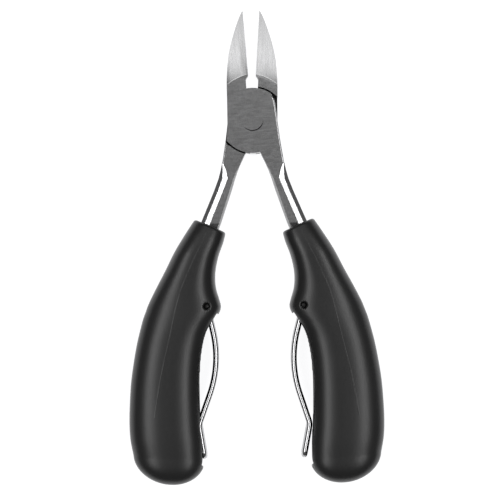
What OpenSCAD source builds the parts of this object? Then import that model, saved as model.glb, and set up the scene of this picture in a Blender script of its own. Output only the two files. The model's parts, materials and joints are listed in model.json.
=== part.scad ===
// Heavy-duty toenail nipper: two forged steel halves crossed in a half-lap joint on one
// rivet, two moulded grips, and a bent-wire spring pinned in the slot of each grip.
//
// Frame: the nipper lies flat, +Y runs towards the blade tips, +Z is up. The origin is
// under the middle of the whole outline, on the surface that the grips rest on.
// Each half is drawn closed and about the pivot: cutting edge on x = 0, blade on -X and
// shank on +X. The back half is the same forging turned over about the Y axis.

/* [Jaws] */
// Angle between the halves as the nipper lies open
open_angle = 8.6; // [2:0.1:12]
// Length of a blade from the pivot to its tip
blade_reach = 37.4; // [34:0.1:40]
// Thickness of the crossed head over both plates
head_thick = 7.5; // [6:0.1:9]
// Thickness of a blade at its tip
tip_thick = 2.6; // [1.5:0.1:4]
// Flat land left along a cutting edge above its bevel
edge_land = 0.5; // [0.2:0.1:1]
// Radius of the crown that the ground faces have across a blade
crown_r = 128; // [100:2:200]
// Angle of the cutting bevel from the vertical
bevel_angle = 36; // [20:1:45]

/* [Lap joint] */
// Radius of the round plate that laps over the other half
lap_r = 11; // [10.5:0.1:11.4]
// Gap round the edge of each lap plate
lap_slit = 0.55; // [0.2:0.05:0.6]
// Gap between the two sliding lap faces
lap_gap = 0.1; // [0.06:0.02:0.2]
// Half width of the window between the blade roots
window_half = 1.1; // [0.8:0.1:1.5]

/* [Rivet] */
// Diameter of the rivet shank
rivet_d = 5; // [4:0.1:6]
// Diameter of the two flush rivet heads
rivet_head_d = 7.2; // [6.6:0.1:8]
// Depth of a flush rivet head
rivet_head_h = 1.3; // [0.8:0.1:1.8]
// Radial clearance of the rivet in the half that turns on it
rivet_fit = 0.05; // [0.02:0.01:0.1]

/* [Grips] */
// Thickness of a grip across its flat of the hand
grip_thick = 16; // [14:0.5:18]
// Squareness of a grip's section on its palm side, where 2 is an ellipse
palm_square = 2.6; // [2.2:0.1:3.2]
// Squareness of a grip's section on the side that faces the other grip
slot_side_square = 2.8; // [2.4:0.1:3.6]
// Radius of the rounded rim at a grip's upper end
grip_rim = 0.9; // [0.6:0.1:1.2]
// Width of the slot that takes the spring
slot_w = 7.8; // [7.4:0.1:8.4]

/* [Springs] */
// Diameter of the spring wire
wire_d = 2; // [1.6:0.1:2.2]
// Distance between the two legs of a spring, centre to centre
leg_gap = 4.8; // [4.4:0.1:5]
// Radial clearance of the wire ends in the holes of the grip
pin_fit = 0.08; // [0.04:0.01:0.1]
// Radius of the bow, along the wire's centre
bow_r = 38; // [34:1:44]
// How much deeper the left spring is pushed into its slot
left_tuck = 2.3; // [0:0.1:2.5]

/* [Hidden] */
$fn = 64;

steel = "silver";
bright_wire = "gainsboro";
charcoal = "#3a3a3c";

half_open = open_angle / 2;
head_half = head_thick / 2;
grip_half = grip_thick / 2;
wire_r = wire_d / 2;
skin_r = wire_r - 0.01;
far = 60;

// The closed cutting edges just miss each other at the tips and stand a little apart behind
edge_x = -0.03;
edge_foot_x = -0.16;

// Blade's outer side, from the tip down past the pivot
blade_side = [
    [-0.25, blade_reach], [-2.0, 34.2], [-4.1, 29.1], [-5.85, 23.8], [-6.95, 18.6],
    [-7.6, 13.3], [-7.95, 8.0], [-8.6, -1.0], [-9.3, -6.1]
];
// Outer side of the lap plate, from its upper corner down to the shank
plate_side = [
    [7.1, 9.5], [7.95, 6.0], [8.25, 2.6], [8.42, -0.5], [8.75, -7.0], [9.1, -11.0], [9.45, -15.2]
];
// Window between the blade roots, and the crotch between the shanks
window_y = 14.2;
edge_foot_y = 15.2;
crotch = [1.5, -10.6];

// Shank and tang: inner point, outer point, half thickness, share of the full chamfer
shank_ribs = [
    [[3.3, -15.2], [9.45, -15.2], head_half, 0.15],
    [[3.95, -17.2], [9.75, -17.4], head_half, 0.55],
    [[4.7, -20.0], [10.35, -20.4], head_half, 1],
    [[5.6, -24.0], [11.6, -24.6], head_half, 1],
    [[6.9, -28.9], [13.2, -29.3], head_half, 1],
    [[8.6, -35.4], [15.4, -35.8], head_half, 1],
    [[11.2, -43.4], [17.4, -42.4], 3.3, 1],
    [[15.2, -52.4], [21.2, -50.8], 3.0, 1],
    [[18.8, -62.4], [24.8, -61.2], 3.0, 1],
    [[21.6, -74.4], [27.6, -73.8], 3.0, 1],
    [[23.0, -88.0], [29.0, -88.0], 3.0, 1],
    [[23.2, -106.0], [28.4, -106.0], 3.0, 1]
];
bevel_w = 0.6;
bevel_drop = 0.15;
chamfer_w = 1.75;
chamfer_drop = 0.5;
facet_w = 1.4;
facet_drop = 0.9;

// Grip: inner point, outer point and half thickness at each rib, from the upper end down
grip_ribs = [
    [[6.95, -39.2], [18.0, -35.3], 6.6],
    [[7.5, -42.0], [20.4, -39.5], 7.4],
    [[8.8, -46.6], [23.6, -45.6], grip_half],
    [[9.5, -52.2], [26.55, -52.6], grip_half],
    [[9.0, -57.2], [29.3, -58.8], grip_half],
    [[7.5, -61.4], [31.4, -63.9], grip_half],
    [[6.9, -63.7], [32.3, -66.8], grip_half],
    [[7.5, -66.0], [33.1, -69.6], grip_half],
    [[9.6, -69.9], [34.0, -74.2], grip_half],
    [[11.2, -74.3], [34.65, -78.2], grip_half],
    [[12.0, -80.9], [35.3, -84.0], grip_half],
    [[12.0, -88.4], [35.8, -91.0], grip_half],
    [[11.4, -96.5], [35.8, -98.5], grip_half],
    [[10.6, -104.0], [35.5, -105.2], grip_half],
    [[9.7, -109.8], [34.8, -110.6], 0.99 * grip_half],
    [[9.2, -115.3], [33.5, -115.6], 0.96 * grip_half]
];
grip_pole = [20.2, -124.8];
ribs_between = 3;
cap_ribs = 8;
cap_square = 3;
rim_ribs = 3;
grip_sides = 32;

// Spring pin, slot and wire route. The moves run from the wire's end in the upper cheek of
// the grip to its cross bar, and the second leg is the first one turned over.
pin = [11.6, -63.5];
pin_end = 5.4;
pocket_r = 1.9;
slot_floor = [[13.5, -63.5], [14.2, -68], [14.2, -112], [13, -118.2]];
slot_mouth = [[0, -118.2], [0, -79], [9.85, -62.8]];
bend_r = 1.5;
foot_bend_r = 1.4;
leg_lean = 19;
leg_run = 9;
bow_turn = 32.5;
tail_run = 9.8;
kink_r = 4;
kink_turn = 28.7;
foot_run = 8.4;
wire_sides = 16;
pin_run = 0.4;
leg_moves = [
    [pin_run],
    [bend_r, 90, 0, 6],
    [leg_run - bend_r],
    [bow_r, bow_turn, -90, 12],
    [tail_run],
    [kink_r, kink_turn, 90, 4],
    [foot_run],
    [foot_bend_r, 90, 180, 8]
];

// Lowest point and highest point of the outline as it lies open
function turned(p, a) = [p[0] * cos(a) - p[1] * sin(a), p[0] * sin(a) + p[1] * cos(a)];
tip_top = turned([edge_x, blade_reach], half_open)[1];
grip_low = min([for (rib = grip_cap()) turned(rib[0], half_open)[1]]);
pivot_y = -(tip_top + grip_low) / 2;

// Catmull-Rom curve through a list of points, with n steps to a span
function blend4(a, b, c, d, t) =
    0.5 * (2 * b + t * (c - a) + t * t * (2 * a - 5 * b + 4 * c - d)
        + t * t * t * (3 * b - a - 3 * c + d));
function near(list, i) = list[max(0, min(len(list) - 1, i))];
function curve(list, n) = [
    for (i = [0 : len(list) - 2], k = [0 : n - 1])
        blend4(near(list, i - 1), list[i], list[i + 1], near(list, i + 2), k / n),
    list[len(list) - 1]
];

// Closed skin over rings that all have the same number of points
function skin_faces(rings, sides) = concat(
    [[for (j = [0 : sides - 1]) j]],
    [for (i = [0 : rings - 2], j = [0 : sides - 1]) let (n = (j + 1) % sides)
        [i * sides + j, (i + 1) * sides + j, i * sides + n]],
    [for (i = [0 : rings - 2], j = [0 : sides - 1]) let (n = (j + 1) % sides)
        [i * sides + n, (i + 1) * sides + j, (i + 1) * sides + n]],
    [[for (j = [sides - 1 : -1 : 0]) (rings - 1) * sides + j]]
);
module skin(rings) {
    polyhedron(
        points = [for (ring = rings, p = ring) p],
        faces = skin_faces(len(rings), len(rings[0])),
        convexity = 8
    );
}

// Ring of a grip: a rounded oblong between an inner and an outer point
function power(v, e) = sign(v) * pow(abs(v), e);
function grip_ring(rib) = let (mid = (rib[0] + rib[1]) / 2, reach = (rib[1] - rib[0]) / 2) [
    for (j = [0 : grip_sides - 1])
        let (
            a = 360 * j / grip_sides,
            e = 2 / (cos(a) > 0 ? palm_square : slot_side_square),
            p = mid + reach * power(cos(a), e)
        )
        [p[0], p[1], rib[2] * power(sin(a), e)]
];
// Rounded rim at the upper end, and the domed lower end
function grip_rimmed() = let (
    first = grip_ribs[0],
    across = (first[1] - first[0]) / norm(first[1] - first[0]),
    up = [-across[1], across[0]]
) [
    for (k = [0 : rim_ribs - 1])
        let (
            a = 90 * (rim_ribs - k) / rim_ribs,
            inset = grip_rim * (1 - cos(a)),
            rise = grip_rim * sin(a) * up
        )
        [first[0] + rise + inset * across, first[1] + rise - inset * across, first[2] - inset]
];
function grip_cap() = let (
    last = grip_ribs[len(grip_ribs) - 1],
    mid = (last[0] + last[1]) / 2,
    reach = (last[1] - last[0]) / 2
) [
    for (k = [1 : cap_ribs])
        let (
            a = 86 * k / cap_ribs,
            c = mid + (grip_pole - mid) * sin(a),
            half = last[2] * pow(1 - pow(sin(a), cap_square), 1 / cap_square)
        )
        [c - reach * cos(a), c + reach * cos(a), half]
];
function grip_rings() = let (
    inner = curve([for (rib = grip_ribs) rib[0]], ribs_between),
    outer = curve([for (rib = grip_ribs) rib[1]], ribs_between),
    thick = curve([for (rib = grip_ribs) [rib[2], 0]], ribs_between),
    body = [for (i = [0 : len(inner) - 1]) [inner[i], outer[i], min(thick[i][0], grip_half)]]
) [for (rib = concat(grip_rimmed(), body, grip_cap())) grip_ring(rib)];

// Ring of a shank: flat faces, a small bevel inside, a chamfer and a facet outside
function shank_ring(rib) = let (
    across = rib[1] - rib[0],
    w = norm(across),
    h = rib[2],
    bw = bevel_w * rib[3],
    bd = bevel_drop * rib[3],
    cw = chamfer_w * rib[3],
    cd = chamfer_drop * rib[3],
    fw = facet_w * rib[3],
    fd = facet_drop * rib[3],
    upper = [[0, h - bd], [bw, h], [w - cw - fw, h], [w - fw, h - cd], [w, h - cd - fd]],
    lower = [for (i = [len(upper) - 1 : -1 : 0]) [upper[i][0], -upper[i][1]]],
    section = concat(lower, upper)
) [
    for (i = [len(section) - 1 : -1 : 0])
        let (q = section[i], p = rib[0] + across * q[0] / w)
        [p[0], p[1], q[1]]
];
module shank_and_tang() {
    skin([for (rib = shank_ribs) shank_ring(rib)]);
}

// Outline of one half: blade with its cheek, and the root of the shank
module blade_outline() {
    side = curve(blade_side, 4);
    polygon(concat(
        [[edge_x, blade_reach]],
        side,
        [[-2, -2], [-window_half, 9], [-window_half, window_y - 0.5]],
        [[-window_half + 0.3, window_y + 0.2], [edge_foot_x - 0.2, edge_foot_y - 0.35]],
        [[edge_foot_x, edge_foot_y]]
    ));
}
module shank_root_outline() {
    last = len(plate_side) - 1;
    polygon(concat(
        [[1, -2], crotch, shank_ribs[0][0]],
        [for (i = [last : -1 : last - 3]) plate_side[i]]
    ));
}
module plate_outline() {
    intersection() {
        circle(r = lap_r, $fn = 180);
        polygon(concat(
            curve(plate_side, 4),
            [[9.6, -20], [-9.7, -20]],
            [for (i = [len(blade_side) - 1 : -1 : 5]) blade_side[i]],
            [[-7.7, 20], [8.0, 20]]
        ));
    }
}

// One half of the nipper, with the lap plate on its upper side.
// bevel_up says on which side the cutting bevel is ground, and fit widens the rivet hole.
module steel_half(bevel_up, fit) {
    difference() {
        union() {
            difference() {
                half_blank();
                blade_grinds();
                cutting_bevel(bevel_up);
            }
            shank_and_tang();
        }
        rivet_shape(fit);
    }
}
module half_blank() {
    translate([0, 0, lap_gap / 2])
        linear_extrude(head_half - lap_gap / 2) {
            blade_outline();
            shank_root_outline();
            plate_outline();
        }
    translate([0, 0, -head_half])
        linear_extrude(head_half + lap_gap / 2)
            difference() {
                union() {
                    blade_outline();
                    shank_root_outline();
                }
                circle(r = lap_r + lap_slit, $fn = 180);
            }
}
// Both faces of the blade are ground to a slope with a slight crown, so that the ground
// face meets the flat one in an arc that drops away from the cutting edge
grind_start = 15.8;
crown_off = 1.8;
module blade_grinds() {
    slope = atan((head_half - tip_thick / 2) / (blade_reach - grind_start));
    for (side = [0, 1])
        mirror([0, 0, side])
            translate([crown_off, grind_start, head_half])
                rotate([-slope, 0, 0])
                    difference() {
                        translate([-far / 2, -far / 2, -far / 4])
                            cube(far);
                        translate([0, 0, -crown_r])
                            rotate([90, 0, 0])
                                cylinder(h = 2 * far, r = crown_r, center = true, $fn = 720);
                    }
}
// The bevel leaves a narrow land along the cutting edge and opens a groove behind it
module cutting_bevel(up) {
    edge_z = tip_thick / 2 - edge_land;
    mirror([0, 0, up ? 1 : 0])
        translate([edge_x, window_y, edge_z])
            rotate([0, bevel_angle, 0])
                translate([0, -0.2, -far])
                    cube([far, far, far]);
}

// Rivet with two flush heads, or with a clearance all round as the hole for it
module rivet_shape(fit) {
    cylinder(h = head_thick + 2 * fit, r = rivet_d / 2 + fit, center = true);
    for (side = [0, 1])
        mirror([0, 0, side])
            translate([0, 0, head_half - rivet_head_h - fit])
                cylinder(h = rivet_head_h + 2 * fit, r = rivet_head_d / 2 + fit);
}

// Places drawings made about the closed pivot into the nipper as it lies open
module front_place() {
    translate([0, pivot_y, grip_half])
        rotate([0, 0, half_open])
            children();
}
module back_place() {
    translate([0, pivot_y, grip_half])
        rotate([0, 0, -half_open])
            rotate([0, 180, 0])
                children();
}

// Moulded grip on a tang, with its spring slot and the hole for the spring's ends
module grip() {
    difference() {
        skin(grip_rings());
        shank_and_tang();
        spring_slot();
        translate([pin[0], pin[1], 0])
            cylinder(h = 2 * grip_thick, r = wire_r + pin_fit, center = true, $fn = 48);
    }
}
module spring_slot() {
    translate([0, 0, -slot_w / 2])
        linear_extrude(slot_w) {
            polygon(concat(slot_mouth, slot_floor));
            translate(pin)
                circle(r = pocket_r);
        }
}

// Frame after a straight of length d, or after a bend of radius r through angle a, where
// roll turns the bend's side about the wire. A frame is a position, two directions across
// the wire and one along it.
function straight(f, d) = [f[0] + d * f[3], f[1], f[2], f[3]];
function swung(v, u, a) = v * cos(a) + cross(u, v) * sin(a) + u * (u * v) * (1 - cos(a));
function bent(f, r, a, roll) = let (
    side = f[1] * cos(roll) + f[2] * sin(roll),
    u = cross(f[3], side)
) [
    f[0] + r * (1 - cos(a)) * side + r * sin(a) * f[3],
    swung(f[1], u, a),
    swung(f[2], u, a),
    swung(f[3], u, a)
];
// Frames all along a list of moves: [length], or [radius, angle, roll, steps]
function route(f, moves, i = 0) =
    i == len(moves) ? [f]
    : len(moves[i]) == 1 ? concat([f], route(straight(f, moves[i][0]), moves, i + 1))
    : concat(
        [for (k = [0 : moves[i][3] - 1])
            bent(f, moves[i][0], moves[i][1] * k / moves[i][3], moves[i][2])],
        route(bent(f, moves[i][0], moves[i][1], moves[i][2]), moves, i + 1)
    );
function wire_ring(f) = [
    for (j = [0 : wire_sides - 1])
        let (a = 360 * j / wire_sides)
        f[0] + skin_r * (f[1] * cos(a) + f[2] * sin(a))
];
// Bent wire with two legs, true round ends in the grip and a rounded foot
module spring() {
    away = [-sin(leg_lean), -cos(leg_lean), 0];
    start = [
        [pin[0], pin[1], leg_gap / 2 + bend_r + pin_run],
        away,
        [away[1], -away[0], 0],
        [0, 0, -1]
    ];
    first_leg = [for (f = route(start, leg_moves)) wire_ring(f)];
    second_leg = [
        for (i = [len(first_leg) - 1 : -1 : 0])
            [for (p = first_leg[i]) [p[0], p[1], -p[2]]]
    ];
    skin(concat(first_leg, second_leg));
    for (side = [0, 1])
        mirror([0, 0, side])
            translate([pin[0], pin[1], leg_gap / 2 + bend_r])
                cylinder(h = pin_end - leg_gap / 2 - bend_r, r = wire_r, $fn = 48);
}
module tucked(angle) {
    translate(pin)
        rotate([0, 0, angle])
            translate(-pin)
                children();
}

module front_half() {
    color(steel)
        front_place()
            steel_half(bevel_up = false, fit = 0);
}
module back_half() {
    color(steel)
        back_place()
            steel_half(bevel_up = true, fit = rivet_fit);
}
module pivot_rivet() {
    color(steel)
        front_place()
            rivet_shape(0);
}
module right_grip() {
    color(charcoal)
        front_place()
            grip();
}
module left_grip() {
    color(charcoal)
        back_place()
            grip();
}
module right_spring() {
    color(bright_wire)
        front_place()
            spring();
}
module left_spring() {
    color(bright_wire)
        back_place()
            tucked(left_tuck)
                spring();
}

front_half();
back_half();
pivot_rivet();
right_grip();
left_grip();
right_spring();
left_spring();
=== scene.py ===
"""Looks of the toenail nipper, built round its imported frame.

The drawings of one half are in millimetres about the pivot, with the nipper closed, as in the
design: +Y runs to the blade tips and the handle is on +X. Each piece goes from there to its
place in the row frame, in metres.
"""

import json
from math import cos, pi, radians, sin

import bmesh
import bpy
import numpy as np
from mathutils import Matrix, Vector


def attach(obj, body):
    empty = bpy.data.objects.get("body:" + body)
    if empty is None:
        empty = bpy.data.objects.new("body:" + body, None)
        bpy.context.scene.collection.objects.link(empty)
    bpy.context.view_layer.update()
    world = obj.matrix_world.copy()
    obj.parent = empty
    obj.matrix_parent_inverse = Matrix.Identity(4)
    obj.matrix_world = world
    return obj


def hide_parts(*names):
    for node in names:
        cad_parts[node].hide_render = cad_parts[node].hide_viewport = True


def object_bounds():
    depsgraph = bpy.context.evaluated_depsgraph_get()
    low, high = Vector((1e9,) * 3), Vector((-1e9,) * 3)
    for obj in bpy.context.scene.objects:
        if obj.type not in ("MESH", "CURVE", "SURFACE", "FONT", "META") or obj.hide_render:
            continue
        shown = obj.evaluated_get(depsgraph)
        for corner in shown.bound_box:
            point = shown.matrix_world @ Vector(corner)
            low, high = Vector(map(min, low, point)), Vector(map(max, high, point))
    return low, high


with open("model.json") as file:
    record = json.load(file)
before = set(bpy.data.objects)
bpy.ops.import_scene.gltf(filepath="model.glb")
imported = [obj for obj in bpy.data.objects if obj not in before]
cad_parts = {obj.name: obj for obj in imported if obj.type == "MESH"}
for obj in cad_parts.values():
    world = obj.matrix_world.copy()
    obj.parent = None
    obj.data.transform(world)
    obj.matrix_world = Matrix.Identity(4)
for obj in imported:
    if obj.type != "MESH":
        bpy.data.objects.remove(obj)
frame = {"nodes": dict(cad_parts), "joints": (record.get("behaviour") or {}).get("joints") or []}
cad_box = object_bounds()

MM = 0.001
FRONT, BACK = 1, -1

# Driving sizes of the design, in millimetres and degrees
OPEN_ANGLE = 8.6
LEFT_TUCK = 2.3
HEAD_THICK = 7.5
RIVET_D = 5.0
RIVET_HEAD_D = 7.2
RIVET_HEAD_H = 1.3
WIRE_D = 2.0
PIN_FIT = 0.08


# ---------------------------------------------------------------- places in the row frame

def joint_place(name):
    """Where a joint's axis is, in the row frame."""
    return Vector(next(j["pos_m"] for j in frame["joints"] if j["name"] == name))


PIVOT = joint_place("jaw_pivot")


def half_place(side):
    """From a half's closed drawing in metres to its place in the row frame."""
    turn = Matrix.Rotation(side * radians(OPEN_ANGLE / 2), 4, "Z")
    over = Matrix.Identity(4) if side == FRONT else Matrix.Rotation(pi, 4, "Y")
    return Matrix.Translation(PIVOT) @ turn @ over


PIN = half_place(FRONT).inverted() @ joint_place("right_spring_swing") / MM


# ---------------------------------------------------------------- meshes

def add_object(name, mesh):
    piece = bpy.data.objects.new(name, mesh)
    bpy.context.scene.collection.objects.link(piece)
    return piece


def mesh_object(name, points, faces):
    """A piece from points in millimetres."""
    mesh = bpy.data.meshes.new(name)
    mesh.from_pydata([Vector(p) * MM for p in points], [], faces)
    mesh.update()
    return add_object(name, mesh)


def skin(name, rings):
    """A closed skin over rings that all have the same number of points."""
    sides = len(rings[0])
    points = [p for ring in rings for p in ring]
    faces = [
        (i * sides + j, i * sides + n, (i + 1) * sides + n, (i + 1) * sides + j)
        for i in range(len(rings) - 1)
        for j, n in ((j, (j + 1) % sides) for j in range(sides))
    ]
    faces.append(tuple(range(sides))[::-1])
    faces.append(tuple((len(rings) - 1) * sides + j for j in range(sides)))
    piece = mesh_object(name, points, faces)
    face_outwards(piece)
    return piece


def face_outwards(piece):
    bm = bmesh.new()
    bm.from_mesh(piece.data)
    bmesh.ops.recalc_face_normals(bm, faces=bm.faces)
    bm.to_mesh(piece.data)
    bm.free()


def apply_modifiers(piece):
    """Leaves the piece with the mesh that its modifiers make."""
    bpy.context.view_layer.update()
    made = piece.evaluated_get(bpy.context.evaluated_depsgraph_get())
    mesh = bpy.data.meshes.new_from_object(made)
    piece.modifiers.clear()
    piece.data = mesh


def cut(piece, *tools):
    """Takes the tools' shapes out of the piece and discards the tools."""
    for tool in tools:
        boolean = piece.modifiers.new("cut", "BOOLEAN")
        boolean.operation = "DIFFERENCE"
        boolean.solver = "EXACT"
        boolean.object = tool
    apply_modifiers(piece)
    for tool in tools:
        bpy.data.objects.remove(tool)


def prism(name, outline, z_low, z_high):
    """An upright prism over an outline."""
    rings = [[(x, y, z) for x, y in outline] for z in (z_low, z_high)]
    return skin(name, rings)


def rod(name, centre, radius, z_low, z_high, sides=64):
    turns = [2 * pi * j / sides for j in range(sides)]
    outline = [(centre[0] + radius * cos(a), centre[1] + radius * sin(a)) for a in turns]
    return prism(name, outline, z_low, z_high)


# ---------------------------------------------------------------- grips

# Inner point, outer point and half thickness at each rib, from the upper end down
GRIP_HALF = 8.0
GRIP_RIBS = [
    ((6.95, -39.2), (18.0, -35.3), 6.6),
    ((7.5, -42.0), (20.4, -39.5), 7.4),
    ((8.8, -46.6), (23.6, -45.6), GRIP_HALF),
    ((9.5, -52.2), (26.55, -52.6), GRIP_HALF),
    ((9.0, -57.2), (29.3, -58.8), GRIP_HALF),
    ((7.5, -61.4), (31.4, -63.9), GRIP_HALF),
    ((6.9, -63.7), (32.3, -66.8), GRIP_HALF),
    ((7.5, -66.0), (33.1, -69.6), GRIP_HALF),
    ((9.6, -69.9), (34.0, -74.2), GRIP_HALF),
    ((11.2, -74.3), (34.65, -78.2), GRIP_HALF),
    ((12.0, -80.9), (35.3, -84.0), GRIP_HALF),
    ((12.0, -88.4), (35.8, -91.0), GRIP_HALF),
    ((11.4, -96.5), (35.8, -98.5), GRIP_HALF),
    ((10.6, -104.0), (35.5, -105.2), GRIP_HALF),
    ((9.7, -109.8), (34.8, -110.6), 0.99 * GRIP_HALF),
    ((9.2, -115.3), (33.5, -115.6), 0.96 * GRIP_HALF),
]
# The lowest point of the domed heel
GRIP_POLE = np.array([20.2, -124.8])
# Radius of the rounded upper rim
GRIP_RIM = 0.9
# How square the rounded outlines are: 2 gives an ellipse
PALM_SQUARE = 2.6
SLOT_SIDE_SQUARE = 2.8
CAP_SQUARE = 3
# Half the slot's width, and its outline along the grip
SLOT_HALF = 3.9
SLOT_FLOOR = [(13.5, -63.5), (14.2, -68), (14.2, -112), (13, -118.2)]
SLOT_MOUTH = [(0, -118.2), (0, -79), (9.85, -62.8)]
POCKET_R = 1.9
GRIP_SIDES = 112
RIB_STEPS = 10
CAP_STEPS = 26
# The cap stops short of its pole, where the last small face closes it
CAP_TURN = radians(88)
RIM_STEPS = 5
GRIP_VOXEL = 0.3
GRIP_SMOOTHING = 5
SMOOTHING_FACTOR = 0.5
# The fine line that the mould left along the middle of both faces
MOULD_LINE = [
    (13.1, -38.3), (18.6, -52.8), (21.3, -62), (23.4, -75.5), (25.4, -88), (26.7, -101.6),
]
MOULD_STEPS = 4


def curve(points, steps):
    """Catmull-Rom curve through the points, with so many steps to a span."""
    p = np.array(points, float)
    p = np.vstack([p[:1], p, p[-1:]])
    line = []
    for i in range(1, len(p) - 2):
        a, b, c, d = p[i - 1:i + 3]
        for t in np.arange(steps) / steps:
            line.append(0.5 * (2 * b + t * (c - a) + t * t * (2 * a - 5 * b + 4 * c - d)
                               + t ** 3 * (3 * b - a - 3 * c + d)))
    line.append(p[-2])
    return np.array(line)


def oblong(inner, outer, half):
    """Ring of a grip, a rounded oblong that is squarer on its slot side."""
    mid, reach = (inner + outer) / 2, (outer - inner) / 2
    ring = []
    for a in np.arange(GRIP_SIDES) * 2 * pi / GRIP_SIDES:
        n = PALM_SQUARE if cos(a) > 0 else SLOT_SIDE_SQUARE
        r = (abs(cos(a)) ** n + abs(sin(a)) ** n) ** (-1 / n)
        x, y = mid + reach * r * cos(a)
        ring.append((x, y, half * r * sin(a)))
    return ring


def grip_rings():
    """Rings of a grip from its upper rim down to the pole of its heel."""
    inner = curve([rib[0] for rib in GRIP_RIBS], RIB_STEPS)
    outer = curve([rib[1] for rib in GRIP_RIBS], RIB_STEPS)
    halves = np.minimum(curve([(rib[2], 0) for rib in GRIP_RIBS], RIB_STEPS)[:, 0], GRIP_HALF)
    across = (outer[0] - inner[0]) / np.linalg.norm(outer[0] - inner[0])
    up = np.array([-across[1], across[0]])
    rings = []
    for a in np.arange(RIM_STEPS, 0, -1) * pi / 2 / RIM_STEPS:
        inset = GRIP_RIM * (1 - cos(a))
        rise = GRIP_RIM * sin(a) * up
        rings.append(oblong(inner[0] + rise + inset * across, outer[0] + rise - inset * across,
                            halves[0] - inset))
    rings += [oblong(*rib) for rib in zip(inner, outer, halves)]
    mid, reach = (inner[-1] + outer[-1]) / 2, (outer[-1] - inner[-1]) / 2
    for a in np.arange(1, CAP_STEPS + 1) * CAP_TURN / CAP_STEPS:
        c = mid + (GRIP_POLE - mid) * sin(a)
        half = halves[-1] * (1 - sin(a) ** CAP_SQUARE) ** (1 / CAP_SQUARE)
        rings.append(oblong(c - reach * cos(a), c + reach * cos(a), half))
    return rings


def distance_to_line(points, line):
    """Distance from each point to the nearest point of a line through a few points."""
    nearest = np.full(len(points), np.inf)
    for a, b in zip(line[:-1], line[1:]):
        along = np.clip(((points - a) @ (b - a)) / ((b - a) @ (b - a)), 0, 1)
        nearest = np.minimum(nearest, np.linalg.norm(points - a - np.outer(along, b - a), axis=1))
    return nearest


def make_grip(name, side, steel_node):
    """A moulded grip with its slot, its cross hole and the cavity that the tang fills."""
    piece = skin(name, grip_rings())
    place = half_place(side)
    slot = prism("slot", SLOT_MOUTH + SLOT_FLOOR, -SLOT_HALF, SLOT_HALF)
    pocket = rod("pocket", PIN, POCKET_R, -SLOT_HALF, SLOT_HALF)
    hole = rod("hole", PIN, WIRE_D / 2 + PIN_FIT, -2 * GRIP_HALF, 2 * GRIP_HALF)
    for shape in (piece, slot, pocket, hole):
        shape.data.transform(place)
    tang = add_object("tang", frame["nodes"][steel_node].data.copy())
    cut(piece, slot, pocket, hole, tang)
    remesh = piece.modifiers.new("remesh", "REMESH")
    remesh.mode = "VOXEL"
    remesh.voxel_size = GRIP_VOXEL * MM
    soften = piece.modifiers.new("soften", "SMOOTH")
    soften.factor = SMOOTHING_FACTOR
    soften.iterations = GRIP_SMOOTHING
    apply_modifiers(piece)
    piece.data.shade_smooth()
    back = place.inverted()
    drawn = np.array([(back @ v.co)[:2] for v in piece.data.vertices]) / MM
    line = curve(MOULD_LINE, MOULD_STEPS)
    seam = piece.data.attributes.new("seam_mm", "FLOAT", "POINT")
    seam.data.foreach_set("value", distance_to_line(drawn, line).astype(np.float32))
    return piece


# ---------------------------------------------------------------- springs

LEG_GAP = 4.8
BEND_R = 1.5
PIN_END = 5.4
PIN_DOME = 0.35
LEG_LEAN = 19
FOOT_BEND_R = 1.4
WIRE_SIDES = 28
DOME_STEPS = 6
# Share of the wire's radius that is left at the middle of a domed end
DOME_TIP = 0.05
# Each move is a straight [length] or a bend [radius, angle, roll, steps]
LEG_MOVES = [
    [PIN_END - LEG_GAP / 2 - BEND_R - PIN_DOME],  # the pin in the cross hole
    [BEND_R, 90, 0, 12],
    [9 - BEND_R],
    [38, 32.5, -90, 30],                          # the bow
    [9.8],
    [4, 28.7, 90, 10],                            # the kink
    [8.4],
    [FOOT_BEND_R, 90, 180, 14],
    [LEG_GAP / 2 - FOOT_BEND_R],                  # half the cross bar
]


def wire_frames():
    """Frames along one leg of the wire, each as a place, two directions across and one along."""
    away = Vector((-sin(radians(LEG_LEAN)), -cos(radians(LEG_LEAN)), 0))
    place = Vector((PIN.x, PIN.y, PIN_END - PIN_DOME))
    now = (place, away, Vector((away.y, -away.x, 0)), Vector((0, 0, -1)))
    frames = [now]
    for move in LEG_MOVES:
        if len(move) == 1:
            now = (now[0] + move[0] * now[3], *now[1:])
            frames.append(now)
            continue
        radius, angle, roll, steps = move
        side = now[1] * cos(radians(roll)) + now[2] * sin(radians(roll))
        centre = now[0] + radius * side
        axis = now[3].cross(side)
        for k in range(1, steps + 1):
            turn = Matrix.Rotation(radians(angle) * k / steps, 3, axis)
            frames.append((centre + turn @ (now[0] - centre), *(turn @ d for d in now[1:])))
        now = frames[-1]
    return frames


def wire_ring(place, first, second, radius):
    turns = [2 * pi * j / WIRE_SIDES for j in range(WIRE_SIDES)]
    return [place + radius * (cos(a) * first + sin(a) * second) for a in turns]


def make_spring(name, side, tuck):
    """A wire bent to a long U, with a bowed middle and round ends that turn in the grip."""
    frames = wire_frames()
    radius = WIRE_D / 2
    dome = []
    for k in range(DOME_STEPS):
        a = pi / 2 * (1 - k / DOME_STEPS)
        lift = Vector((0, 0, PIN_DOME * sin(a)))
        across = radius * max(cos(a), DOME_TIP)
        dome.append(wire_ring(frames[0][0] + lift, *frames[0][1:3], across))
    leg = dome + [wire_ring(*f[:3], radius) for f in frames]
    other = [[Vector((p.x, p.y, -p.z)) for p in ring] for ring in reversed(leg[:-1])]
    piece = skin(name, leg + other)
    about_pin = Matrix.Translation(PIN * MM)
    piece.data.transform(about_pin @ Matrix.Rotation(radians(tuck), 4, "Z") @ about_pin.inverted())
    piece.data.transform(half_place(side))
    piece.data.shade_smooth()
    return piece


# ---------------------------------------------------------------- steel halves

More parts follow.
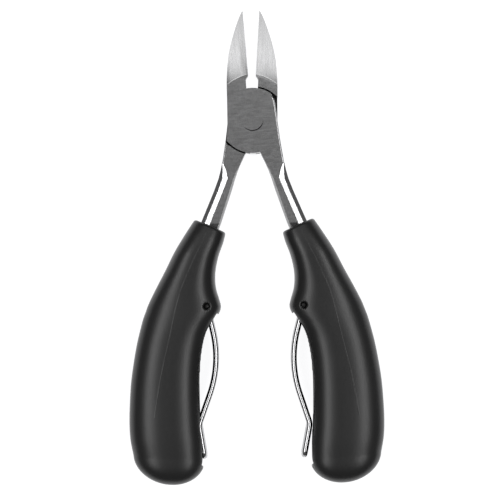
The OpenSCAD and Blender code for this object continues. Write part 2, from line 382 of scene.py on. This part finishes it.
# Rounding of the edges that are sharper than an angle, and of the head's long sides
EDGE_ROUND = 0.11
ROUND_FROM = radians(10)
SIDE_ROUND = 0.55
SIDE_STEPS = 10
# Points nearer than this become one, and faces that meet flatter than this become one
WELD = 0.16
MERGE_BELOW = radians(0.6)
# The creases between ground faces that are sharper than this stay crisp
CRISP_FROM = radians(2.5)
LAP_R = 11.0
# The long sides of the head: how far out each begins, and from where to where it runs
RIGHT_SIDE_X = 6.8
RIGHT_SIDE_Y = (-15.5, 9.7)
LEFT_SIDE_X = -7.9
LEFT_SIDE_Y = (-4.5, 4)
FACE_SLACK = 0.05
# How steeply a face's normal runs up or down where the face is upright, nearly level or level
UPRIGHT = 0.1
NEARLY_LEVEL = 0.9
LEVEL = 0.99


def beside_head(p):
    """Whether a point of the drawing is on a long side of the head."""
    on_right = p.x > RIGHT_SIDE_X and RIGHT_SIDE_Y[0] < p.y < RIGHT_SIDE_Y[1]
    on_left = p.x < LEFT_SIDE_X and LEFT_SIDE_Y[0] < p.y < LEFT_SIDE_Y[1]
    return on_right or on_left


def round_head_sides(bm, drawing):
    """Rounds the long sides of the head more than the other edges."""
    chosen = []
    for edge in bm.edges:
        tilts = sorted(abs(face.normal.z) for face in edge.link_faces)
        ends = [drawing @ v.co / MM for v in edge.verts]
        beside = all(beside_head(p) for p in ends)
        outside = all(abs(p.z) > HEAD_THICK / 2 - FACE_SLACK for p in ends)
        if beside and outside and tilts[0] < UPRIGHT and tilts[-1] > LEVEL:
            chosen.append(edge)
    bmesh.ops.bevel(bm, geom=chosen, offset=SIDE_ROUND * MM, offset_type="OFFSET",
                    segments=SIDE_STEPS, profile=0.5, affect="EDGES", clamp_overlap=False)


def keep_grinds_crisp(bm):
    """Keeps the shallow creases between ground faces sharp, so that no shading crosses them."""
    for edge in bm.edges:
        ground = all(abs(face.normal.z) > NEARLY_LEVEL for face in edge.link_faces)
        if len(edge.link_faces) == 2 and ground:
            edge.smooth = edge.calc_face_angle() < CRISP_FROM


def make_half(name, side, node):
    """The forging as the design has it, with its edges rounded over."""
    piece = add_object(name, frame["nodes"][node].data.copy())
    bm = bmesh.new()
    bm.from_mesh(piece.data)
    bmesh.ops.remove_doubles(bm, verts=bm.verts, dist=WELD * MM)
    bmesh.ops.dissolve_limit(bm, angle_limit=MERGE_BELOW, verts=bm.verts, edges=bm.edges)
    round_head_sides(bm, half_place(side).inverted())
    for face in bm.faces:
        face.smooth = True
    keep_grinds_crisp(bm)
    bm.to_mesh(piece.data)
    bm.free()
    rounds = piece.modifiers.new("rounds", "BEVEL")
    rounds.width = EDGE_ROUND * MM
    rounds.segments = 2
    rounds.limit_method = "ANGLE"
    rounds.angle_limit = ROUND_FROM
    level = piece.modifiers.new("level", "WEIGHTED_NORMAL")
    level.weight = 100
    level.keep_sharp = True
    apply_modifiers(piece)
    return piece


# ---------------------------------------------------------------- rivet

RIVET_SIDES = 144
# Radii of the rings on a ground face, and the small round at a head's edges
FACE_RINGS = (0.02, 1.2, 2.4, 3.0)
RIM = 0.03
RIM_DROP = 0.01
# The gap left beside each head: where its middle is, half its length round, and its size
GAP_TURN = radians(277)
GAP_REACH = radians(66)
GAP_WIDTH = 0.36
GAP_DEPTH = 0.5
GAP_WALL = 0.02
# Faces as near the flush level as this, or this near the axis, are out of the gap
FLUSH = 0.02
INSIDE_GAP = 2.9


def gap_share(turn):
    """Share of the gap's full width at a turn round the rivet."""
    off = abs((turn - GAP_TURN + pi) % (2 * pi) - pi)
    return max(0.0, 1 - (off / GAP_REACH) ** 2) ** 0.5


def make_rivet(name):
    """A rivet ground flush, with a crescent gap along the lower side of each head."""
    top = HEAD_THICK / 2
    head = RIVET_HEAD_D / 2
    neck = top - RIVET_HEAD_H
    # Radius and height of each ring, and whether the gap narrows it and sinks it
    profile = [(r, top, 0, 0) for r in FACE_RINGS]
    profile += [
        (head - RIM, top, 1, 0), (head - GAP_WALL, top, 1, 1), (head, top - RIM_DROP, 0, 1),
        (head, neck + RIM, 0, 0), (head - RIM, neck, 0, 0), (RIVET_D / 2, neck, 0, 0),
    ]
    profile += [(r, -z, narrow, sink) for r, z, narrow, sink in reversed(profile)]
    rings = []
    for r, z, narrow, sink in profile:
        ring = []
        for j in range(RIVET_SIDES):
            a = 2 * pi * j / RIVET_SIDES
            share = gap_share(a - radians(OPEN_ANGLE / 2))
            across = r - narrow * GAP_WIDTH * share
            level = abs(z) - sink * GAP_DEPTH * share
            ring.append((across * cos(a), across * sin(a), level if z > 0 else -level))
        rings.append(ring)
    piece = skin(name, rings)
    piece.data.transform(half_place(FRONT))
    return piece


def paint_rivet(piece):
    """Gives the gap beside each head the dark finish as painted shade, and the rest the satin one.
    """
    piece.data.materials.append(satin_steel("rivet_steel", FRONT))
    piece.data.materials.append(oil_and_painted_shade)
    back = half_place(FRONT).inverted()
    for face in piece.data.polygons:
        at = (back @ face.center) / MM
        off_axis = Vector((at.x, at.y)).length
        flush = abs(face.normal.z) > NEARLY_LEVEL and abs(at.z) > HEAD_THICK / 2 - FLUSH
        # Faces down in the gap take the dark finish as painted shade
        face.material_index = 0 if flush or off_axis < INSIDE_GAP else 1


# ---------------------------------------------------------------- materials

# The sockets of a Mix node that take and give colours
MIX_FACTOR, MIX_A, MIX_B, MIX_RESULT = 0, 6, 7, 2


class Nodes:
    """A material and short calls that add nodes to it."""

    def __init__(self, name):
        self.material = bpy.data.materials.new(name)
        self.material.use_nodes = True
        self.tree = self.material.node_tree
        self.shader = self.tree.nodes["Principled BSDF"]

    def add(self, kind, **values):
        node = self.tree.nodes.new(kind)
        for key, value in values.items():
            setattr(node, key, value)
        return node

    def link(self, source, target):
        self.tree.links.new(source, target)

    def set(self, **values):
        for key, value in values.items():
            self.shader.inputs[key.replace("_", " ")].default_value = value

    def position(self, side=0, scale=(1, 1, 1)):
        """Place in millimetres, in the drawing of a half where a side is given, and scaled."""
        where = self.add("ShaderNodeTexCoord")
        mapping = self.add("ShaderNodeMapping", vector_type="TEXTURE")
        flip = (side or 1, 1, side or 1)
        if side:
            mapping.inputs["Location"].default_value = PIVOT
            mapping.inputs["Rotation"].default_value[2] = side * radians(OPEN_ANGLE / 2)
        mapping.inputs["Scale"].default_value = [f * MM / s for f, s in zip(flip, scale)]
        self.link(where.outputs["Object"], mapping.inputs["Vector"])
        return mapping.outputs["Vector"]

    def noise(self, vector, scale=1.0, detail=3.0, rough=0.55):
        noise = self.add("ShaderNodeTexNoise")
        noise.inputs["Scale"].default_value = scale
        noise.inputs["Detail"].default_value = detail
        noise.inputs["Roughness"].default_value = rough
        self.link(vector, noise.inputs["Vector"])
        return noise.outputs["Fac"]

    def ramp(self, value, low, high, to_low=0.0, to_high=1.0):
        ranged = self.add("ShaderNodeMapRange")
        for key, number in (("From Min", low), ("From Max", high),
                            ("To Min", to_low), ("To Max", to_high)):
            ranged.inputs[key].default_value = number
        self.link(value, ranged.inputs["Value"])
        return ranged.outputs["Result"]

    def math(self, kind, a, b):
        node = self.add("ShaderNodeMath", operation=kind)
        for socket, value in zip(node.inputs, (a, b)):
            if isinstance(value, (int, float)):
                socket.default_value = value
            else:
                self.link(value, socket)
        return node.outputs["Value"]

    def mix(self, factor, a, b):
        node = self.add("ShaderNodeMix", data_type="RGBA")
        for index, value in ((MIX_FACTOR, factor), (MIX_A, a), (MIX_B, b)):
            if isinstance(value, tuple):
                node.inputs[index].default_value = value
            else:
                self.link(value, node.inputs[index])
        return node.outputs[MIX_RESULT]

    def bump(self, height, strength, depth_mm, after=None):
        bump = self.add("ShaderNodeBump")
        bump.inputs["Strength"].default_value = strength
        bump.inputs["Distance"].default_value = depth_mm * MM
        self.link(height, bump.inputs["Height"])
        if after is not None:
            self.link(after, bump.inputs["Normal"])
        return bump.outputs["Normal"]

    def finish(self, colour=None, rough=None, normal=None):
        for socket, value in (("Base Color", colour), ("Roughness", rough), ("Normal", normal)):
            if value is not None:
                self.link(value, self.shader.inputs[socket])
        return self.material


def grey(level):
    return (level, level, level * 1.01, 1)


def charcoal_plastic():
    """Matte charcoal moulding with a fine grain, faint scuffs and its mould line."""
    m = Nodes("charcoal_plastic")
    m.set(Specular_IOR_Level=0.5)
    at = m.position()
    grain = m.noise(at, scale=2.6, detail=4)
    cloud = m.noise(at, scale=0.06, detail=2)
    scuff = m.ramp(m.noise(m.position(scale=(1.6, 0.12, 1)), detail=2), 0.7, 0.78)
    seam = m.add("ShaderNodeAttribute", attribute_name="seam_mm")
    line = m.ramp(seam.outputs["Fac"], 0.05, 0.22, 1, 0)
    patchy = m.math("MULTIPLY", line, m.ramp(m.noise(at, scale=0.12), 0.42, 0.6))
    base = m.mix(cloud, grey(0.012), grey(0.017))
    scuffed = m.mix(m.math("MULTIPLY", scuff, 0.2), base, grey(0.04))
    colour = m.mix(m.math("MULTIPLY", patchy, 0.45), scuffed, grey(0.08))
    rough = m.ramp(grain, 0.3, 0.7, 0.31, 0.39)
    fine = m.bump(grain, 0.25, 0.03)
    return m.finish(colour, rough, m.bump(line, 0.4, 0.05, fine))


def satin_steel(name, side):
    """Flat face of the forging, rubbed to an even satin."""
    m = Nodes(name)
    m.set(Metallic=1.0)
    rubbed = m.noise(m.position(side, (3.5, 0.9, 3.5)), detail=4, rough=0.6)
    cross = m.noise(m.position(side, (0.5, 3.2, 1)), detail=3)
    mottle = m.noise(m.position(side), scale=0.25, detail=3)
    streak = m.noise(m.position(side, (0.3, 1.3, 1)), detail=3)
    worn = m.math("MULTIPLY", m.math("ADD", rubbed, cross), 0.5)
    colour = m.mix(m.ramp(worn, 0.3, 0.7), grey(0.38), grey(0.53))
    colour = m.mix(m.ramp(mottle, 0.35, 0.65, 0, 0.5), colour, grey(0.35))
    colour = m.mix(m.ramp(streak, 0.35, 0.7, 0, 0.55), colour, grey(0.62))
    rough = m.ramp(rubbed, 0.3, 0.7, 0.22, 0.27)
    return m.finish(colour, rough, m.bump(rubbed, 0.06, 0.01))


# Where the ground face of a blade begins, and how that line curves away
GRIND_START = 15.8
GRIND_OFF = 1.8
GRIND_CURVE = 14.6
# Band past the grind's start that takes a painted highlight on the burr
BURR_HIGHLIGHT = (0.02, 0.26)
# The grind is darker towards the tip, and dark in the outer corner where it begins
TIP_Y = (24, 37.4)
CORNER_REACH = 7.0
CORNER_X = (-1, -7)


def ground_steel(name, side):
    """Blade ground along its length, with fine lines and a painted highlight on the burr where the
    grind begins.
    """
    m = Nodes(name)
    m.set(Metallic=1.0)
    fine = m.noise(m.position(side, (7, 0.07, 2)), detail=3, rough=0.7)
    broad = m.noise(m.position(side, (1.3, 0.03, 1)), detail=2)
    lines = m.math("ADD", m.math("MULTIPLY", fine, 0.6), m.math("MULTIPLY", broad, 0.4))
    place = m.add("ShaderNodeSeparateXYZ")
    m.link(m.position(side), place.inputs[0])
    off = m.math("SUBTRACT", place.outputs["X"], GRIND_OFF)
    drop = m.math("DIVIDE", m.math("MULTIPLY", off, off), 2 * GRIND_CURVE)
    past = m.math("ADD", m.math("SUBTRACT", place.outputs["Y"], GRIND_START), drop)
    burr_highlight = m.ramp(past, *BURR_HIGHLIGHT, 1, 0)
    tip = m.ramp(place.outputs["Y"], *TIP_Y, 0, 0.55)
    foot = m.ramp(past, 0.0, CORNER_REACH, 1, 0)
    outer = m.ramp(place.outputs["X"], *CORNER_X, 0.25, 1)
    corner = m.math("MULTIPLY", m.math("MULTIPLY", foot, foot), outer)
    colour = m.mix(m.ramp(lines, 0.38, 0.6), grey(0.6), grey(0.82))
    colour = m.mix(tip, colour, grey(0.4))
    colour = m.mix(m.math("MULTIPLY", corner, 0.9), colour, grey(0.22))
    # Painted highlight on the burr where the grind begins
    colour = m.mix(burr_highlight, colour, grey(0.8))
    rough = m.ramp(lines, 0.3, 0.7, 0.22, 0.32)
    return m.finish(colour, rough, m.bump(lines, 0.1, 0.012))


def polished_steel(name, side):
    """Chamfers polished on a soft wheel."""
    m = Nodes(name)
    m.set(Metallic=1.0)
    drawn = m.noise(m.position(side, (6, 0.15, 6)), detail=4)
    colour = m.mix(drawn, grey(0.56), grey(0.66))
    rough = m.ramp(drawn, 0.3, 0.7, 0.12, 0.2)
    return m.finish(colour, rough, m.bump(drawn, 0.1, 0.01))


def dark_bevel_steel(name, side):
    """Narrow bevels that face inwards, in a darker grey than the polished chamfers."""
    m = Nodes(name)
    m.set(Metallic=1.0)
    scale = m.noise(m.position(side, (2.5, 0.6, 2.5)), detail=4)
    return m.finish(m.mix(scale, grey(0.09), grey(0.16)), m.ramp(scale, 0.3, 0.7, 0.25, 0.35))


def oiled_steel_and_painted_shade():
    """Oiled steel of the lap, and the same dark steel as painted shade in the slit, in the gap
    beside the rivet's heads and on the wires' ends.
    """
    m = Nodes("oiled_steel_and_painted_shade")
    m.set(Metallic=0.3)
    film = m.noise(m.position(), scale=1.5, detail=3)
    return m.finish(m.mix(film, grey(0.006), grey(0.014)), m.ramp(film, 0.3, 0.7, 0.4, 0.6))


def plated_wire(name, dull, bright):
    """Smooth plated wire that varies a little between two greys; in very dark greys it is a
    painted reflection of the grip.
    """
    m = Nodes(name)
    m.set(Metallic=1.0)
    drawn = m.noise(m.position(scale=(1.5, 0.5, 1.5)), detail=2)
    colour = m.mix(drawn, grey(dull), grey(bright))
    return m.finish(colour, m.ramp(drawn, 0.3, 0.7, 0.1, 0.14))


# A face of the wire is on the grip side where its normal leans this far towards the grip; such
# faces get a painted reflection of the dark grip
GRIP_SIDE = 0.3


def paint_spring(piece, side):
    """Bright wire with a painted reflection of the dark grip on its grip side, and painted shade
    on the cut ends down in the cross holes.
    """
    bright, grip_reflection, dark = range(3)
    for material in (wire, painted_grip_reflection_wire, oil_and_painted_shade):
        piece.data.materials.append(material)
    back = half_place(side).inverted()
    for face in piece.data.polygons:
        # The ends down in the cross holes take the dark finish as painted shade
        if abs((back @ face.center).z) / MM > PIN_END - PIN_DOME:
            face.material_index = dark
        # Faces towards the grip take the painted reflection of the dark grip
        elif (back.to_3x3() @ face.normal).x > GRIP_SIDE:
            face.material_index = grip_reflection
        else:
            face.material_index = bright


# How near the middle plane the lap faces of a forging lie
LAP_FACE_Z = 0.2
# The slit's walls: how far they are inside and outside the plate's rim, where they run
# from and to across the head, and how far up their faces may look
SLIT_IN = 0.15
SLIT_MIDDLE = 0.2
SLIT_OUT = 0.7
SLIT_FROM_X = 1.3
SLIT_TO_X = 8.2
WALL_UP = 0.3
# Where the blade and the shank begin, and how far up their slopes look
BLADE_FROM_Y = 12
BLADE_UP = (0.4, 0.9995)
SHANK_FROM_Y = -15
CHAMFER_UP = (0.3, 0.999)


def paint_half(piece, side):
    """Gives each face of a forging its finish, by where it is and how it is ground."""
    tag = "front" if side == FRONT else "back"
    piece.data.materials.clear()
    for make in (satin_steel, ground_steel, polished_steel, dark_bevel_steel):
        piece.data.materials.append(make(f"{make.__name__}_{tag}", side))
    piece.data.materials.append(oil_and_painted_shade)
    back = half_place(side).inverted()
    satin, ground, polished, dark_bevel, dark = range(5)
    for face in piece.data.polygons:
        at = (back @ face.center) / MM
        turned = back.to_3x3() @ face.normal
        up = abs(turned.z)
        off_axis = Vector((at.x, at.y)).length
        past_rim = off_axis - LAP_R
        lap_face = past_rim < SLIT_OUT and abs(at.z) < LAP_FACE_Z and up > NEARLY_LEVEL
        near_slit = past_rim > SLIT_MIDDLE or (at.x * at.y > 0 and abs(at.x) > SLIT_FROM_X)
        slit_wall = -SLIT_IN < past_rim < SLIT_OUT and up < WALL_UP and abs(at.x) < SLIT_TO_X
        # The slit's walls take the dark finish as painted shade, and the lap faces take it as
        # oiled steel
        if lap_face or (near_slit and slit_wall):
            face.material_index = dark
        elif at.y > BLADE_FROM_Y and BLADE_UP[0] < up < BLADE_UP[1]:
            face.material_index = ground
        elif at.y < SHANK_FROM_Y and CHAMFER_UP[0] < up < CHAMFER_UP[1]:
            # Chamfers facing outwards are polished, and those facing inwards a darker grey
            face.material_index = polished if turned.x > 0 else dark_bevel
        else:
            face.material_index = satin


# ---------------------------------------------------------------- the nipper

def carried(piece, body, node):
    """Puts a piece on its body, in place of the design's own."""
    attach(piece, body)
    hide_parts(node)


def use_material(piece, material):
    piece.data.materials.clear()
    piece.data.materials.append(material)


plastic = charcoal_plastic()
wire = plated_wire("bright_wire", dull=0.46, bright=0.54)
# A near-black wire finish that paints the dark grip's reflection on the wire's grip side
painted_grip_reflection_wire = plated_wire("painted_grip_reflection_wire", dull=0.015, bright=0.03)
# Dark steel: oil on the lap, and painted shade in the slit, in the rivet's gap and on the wires'
# ends
oil_and_painted_shade = oiled_steel_and_painted_shade()
for side, hand, half_node, tuck in (
    (FRONT, "right", "front_half", 0.0),
    (BACK, "left", "back_half", LEFT_TUCK),
):
    grip = make_grip(f"{hand}_grip_moulding", side, half_node)
    use_material(grip, plastic)
    carried(grip, f"{hand}_handle", f"{hand}_grip")
    spring = make_spring(f"{hand}_spring_wire", side, tuck)
    paint_spring(spring, side)
    carried(spring, f"{hand}_spring", f"{hand}_spring")
    half = make_half(f"{half_node}_forging", side, half_node)
    paint_half(half, side)
    carried(half, f"{hand}_handle", half_node)

rivet = make_rivet("pivot_rivet_ground")
paint_rivet(rivet)
carried(rivet, "right_handle", "pivot_rivet")


# ---------------------------------------------------------------- floor, light and camera

FLOOR_HALF = 3.0
FLOOR_GAP = 0.0002
TABLE_GLOW = 0.92
ROOM_GLOW = 0.12
BACKDROP = 0.95
# Soft boxes: place from the middle of the nipper, size, and strength
PANELS = {
    "left_panel": ((-0.6, -0.03, 1.2), (0.92, 0.36), 5.0),
    "right_panel": ((0.6, -0.03, 1.2), (0.92, 0.36), 5.0),
    "tip_panel": ((0.0, 0.62, 1.3), (0.7, 0.5), 1.1),
}
CAMERA_ABOVE = 0.5
CAMERA_FAR = 20
VIEW_WIDTH = 0.170
SENSOR = 0.036
# How far the camera is turned and shifted, so that its picture lies on the photograph
VIEW_ROLL = radians(-0.83)
VIEW_OFF = Vector((-0.0015, -0.0009, 0))

low, high = (Vector(v) for v in cad_box)
middle = (low + high) / 2


def make_floor():
    """A plain pale table that glows a little, like a light table."""
    level = low.z - FLOOR_GAP
    corners = ((-1, -1), (1, -1), (1, 1), (-1, 1))
    points = [(x * FLOOR_HALF, y * FLOOR_HALF, level) for x, y in corners]
    mesh = bpy.data.meshes.new("floor")
    mesh.from_pydata(points, [], [(0, 1, 2, 3)])
    floor = add_object("floor", mesh)
    m = Nodes("light_table")
    m.set(Roughness=0.7, Specular_IOR_Level=0.0)
    m.set(Emission_Color=grey(1), Emission_Strength=TABLE_GLOW)
    soft = m.noise(m.position(scale=(0.01, 0.01, 0.01)), detail=2)
    use_material(floor, m.finish(m.mix(soft, grey(0.3), grey(0.32))))


def panel(name, place, size, strength):
    """A soft box that faces the middle of the nipper."""
    light = bpy.data.lights.new(name, "AREA")
    light.shape = "RECTANGLE"
    light.size, light.size_y = size
    light.energy = strength * size[0] * size[1] * pi
    lamp = bpy.data.objects.new(name, light)
    bpy.context.scene.collection.objects.link(lamp)
    lamp.location = middle + Vector(place)
    lamp.rotation_euler = (middle - lamp.location).to_track_quat("-Z", "Y").to_euler()


def make_world():
    """An even dim room, with a pale backdrop behind the nipper."""
    world = bpy.data.worlds.new("room")
    world.use_nodes = True
    tree = world.node_tree
    shader = tree.nodes["Background"]
    path = tree.nodes.new("ShaderNodeLightPath")
    mixed = tree.nodes.new("ShaderNodeMix")
    mixed.data_type = "RGBA"
    mixed.inputs[MIX_A].default_value = (ROOM_GLOW, ROOM_GLOW, ROOM_GLOW, 1)
    mixed.inputs[MIX_B].default_value = (BACKDROP, BACKDROP, BACKDROP, 1)
    tree.links.new(path.outputs["Is Camera Ray"], mixed.inputs[MIX_FACTOR])
    tree.links.new(mixed.outputs[MIX_RESULT], shader.inputs["Color"])
    bpy.context.scene.world = world


def make_camera():
    """A camera that looks straight down, as the photograph's does."""
    data = bpy.data.cameras.new("camera")
    data.sensor_width = SENSOR / MM
    data.lens = SENSOR / MM * CAMERA_ABOVE / VIEW_WIDTH
    data.clip_end = CAMERA_FAR
    camera = bpy.data.objects.new("camera", data)
    bpy.context.scene.collection.objects.link(camera)
    camera.location = Vector((middle.x, middle.y, middle.z + CAMERA_ABOVE)) + VIEW_OFF
    camera.rotation_euler = (0, 0, VIEW_ROLL)
    bpy.context.scene.camera = camera


make_floor()
make_world()
for name, (place, size, strength) in PANELS.items():
    panel(name, place, size, strength)
make_camera()
bpy.context.scene.view_settings.view_transform = "Standard"
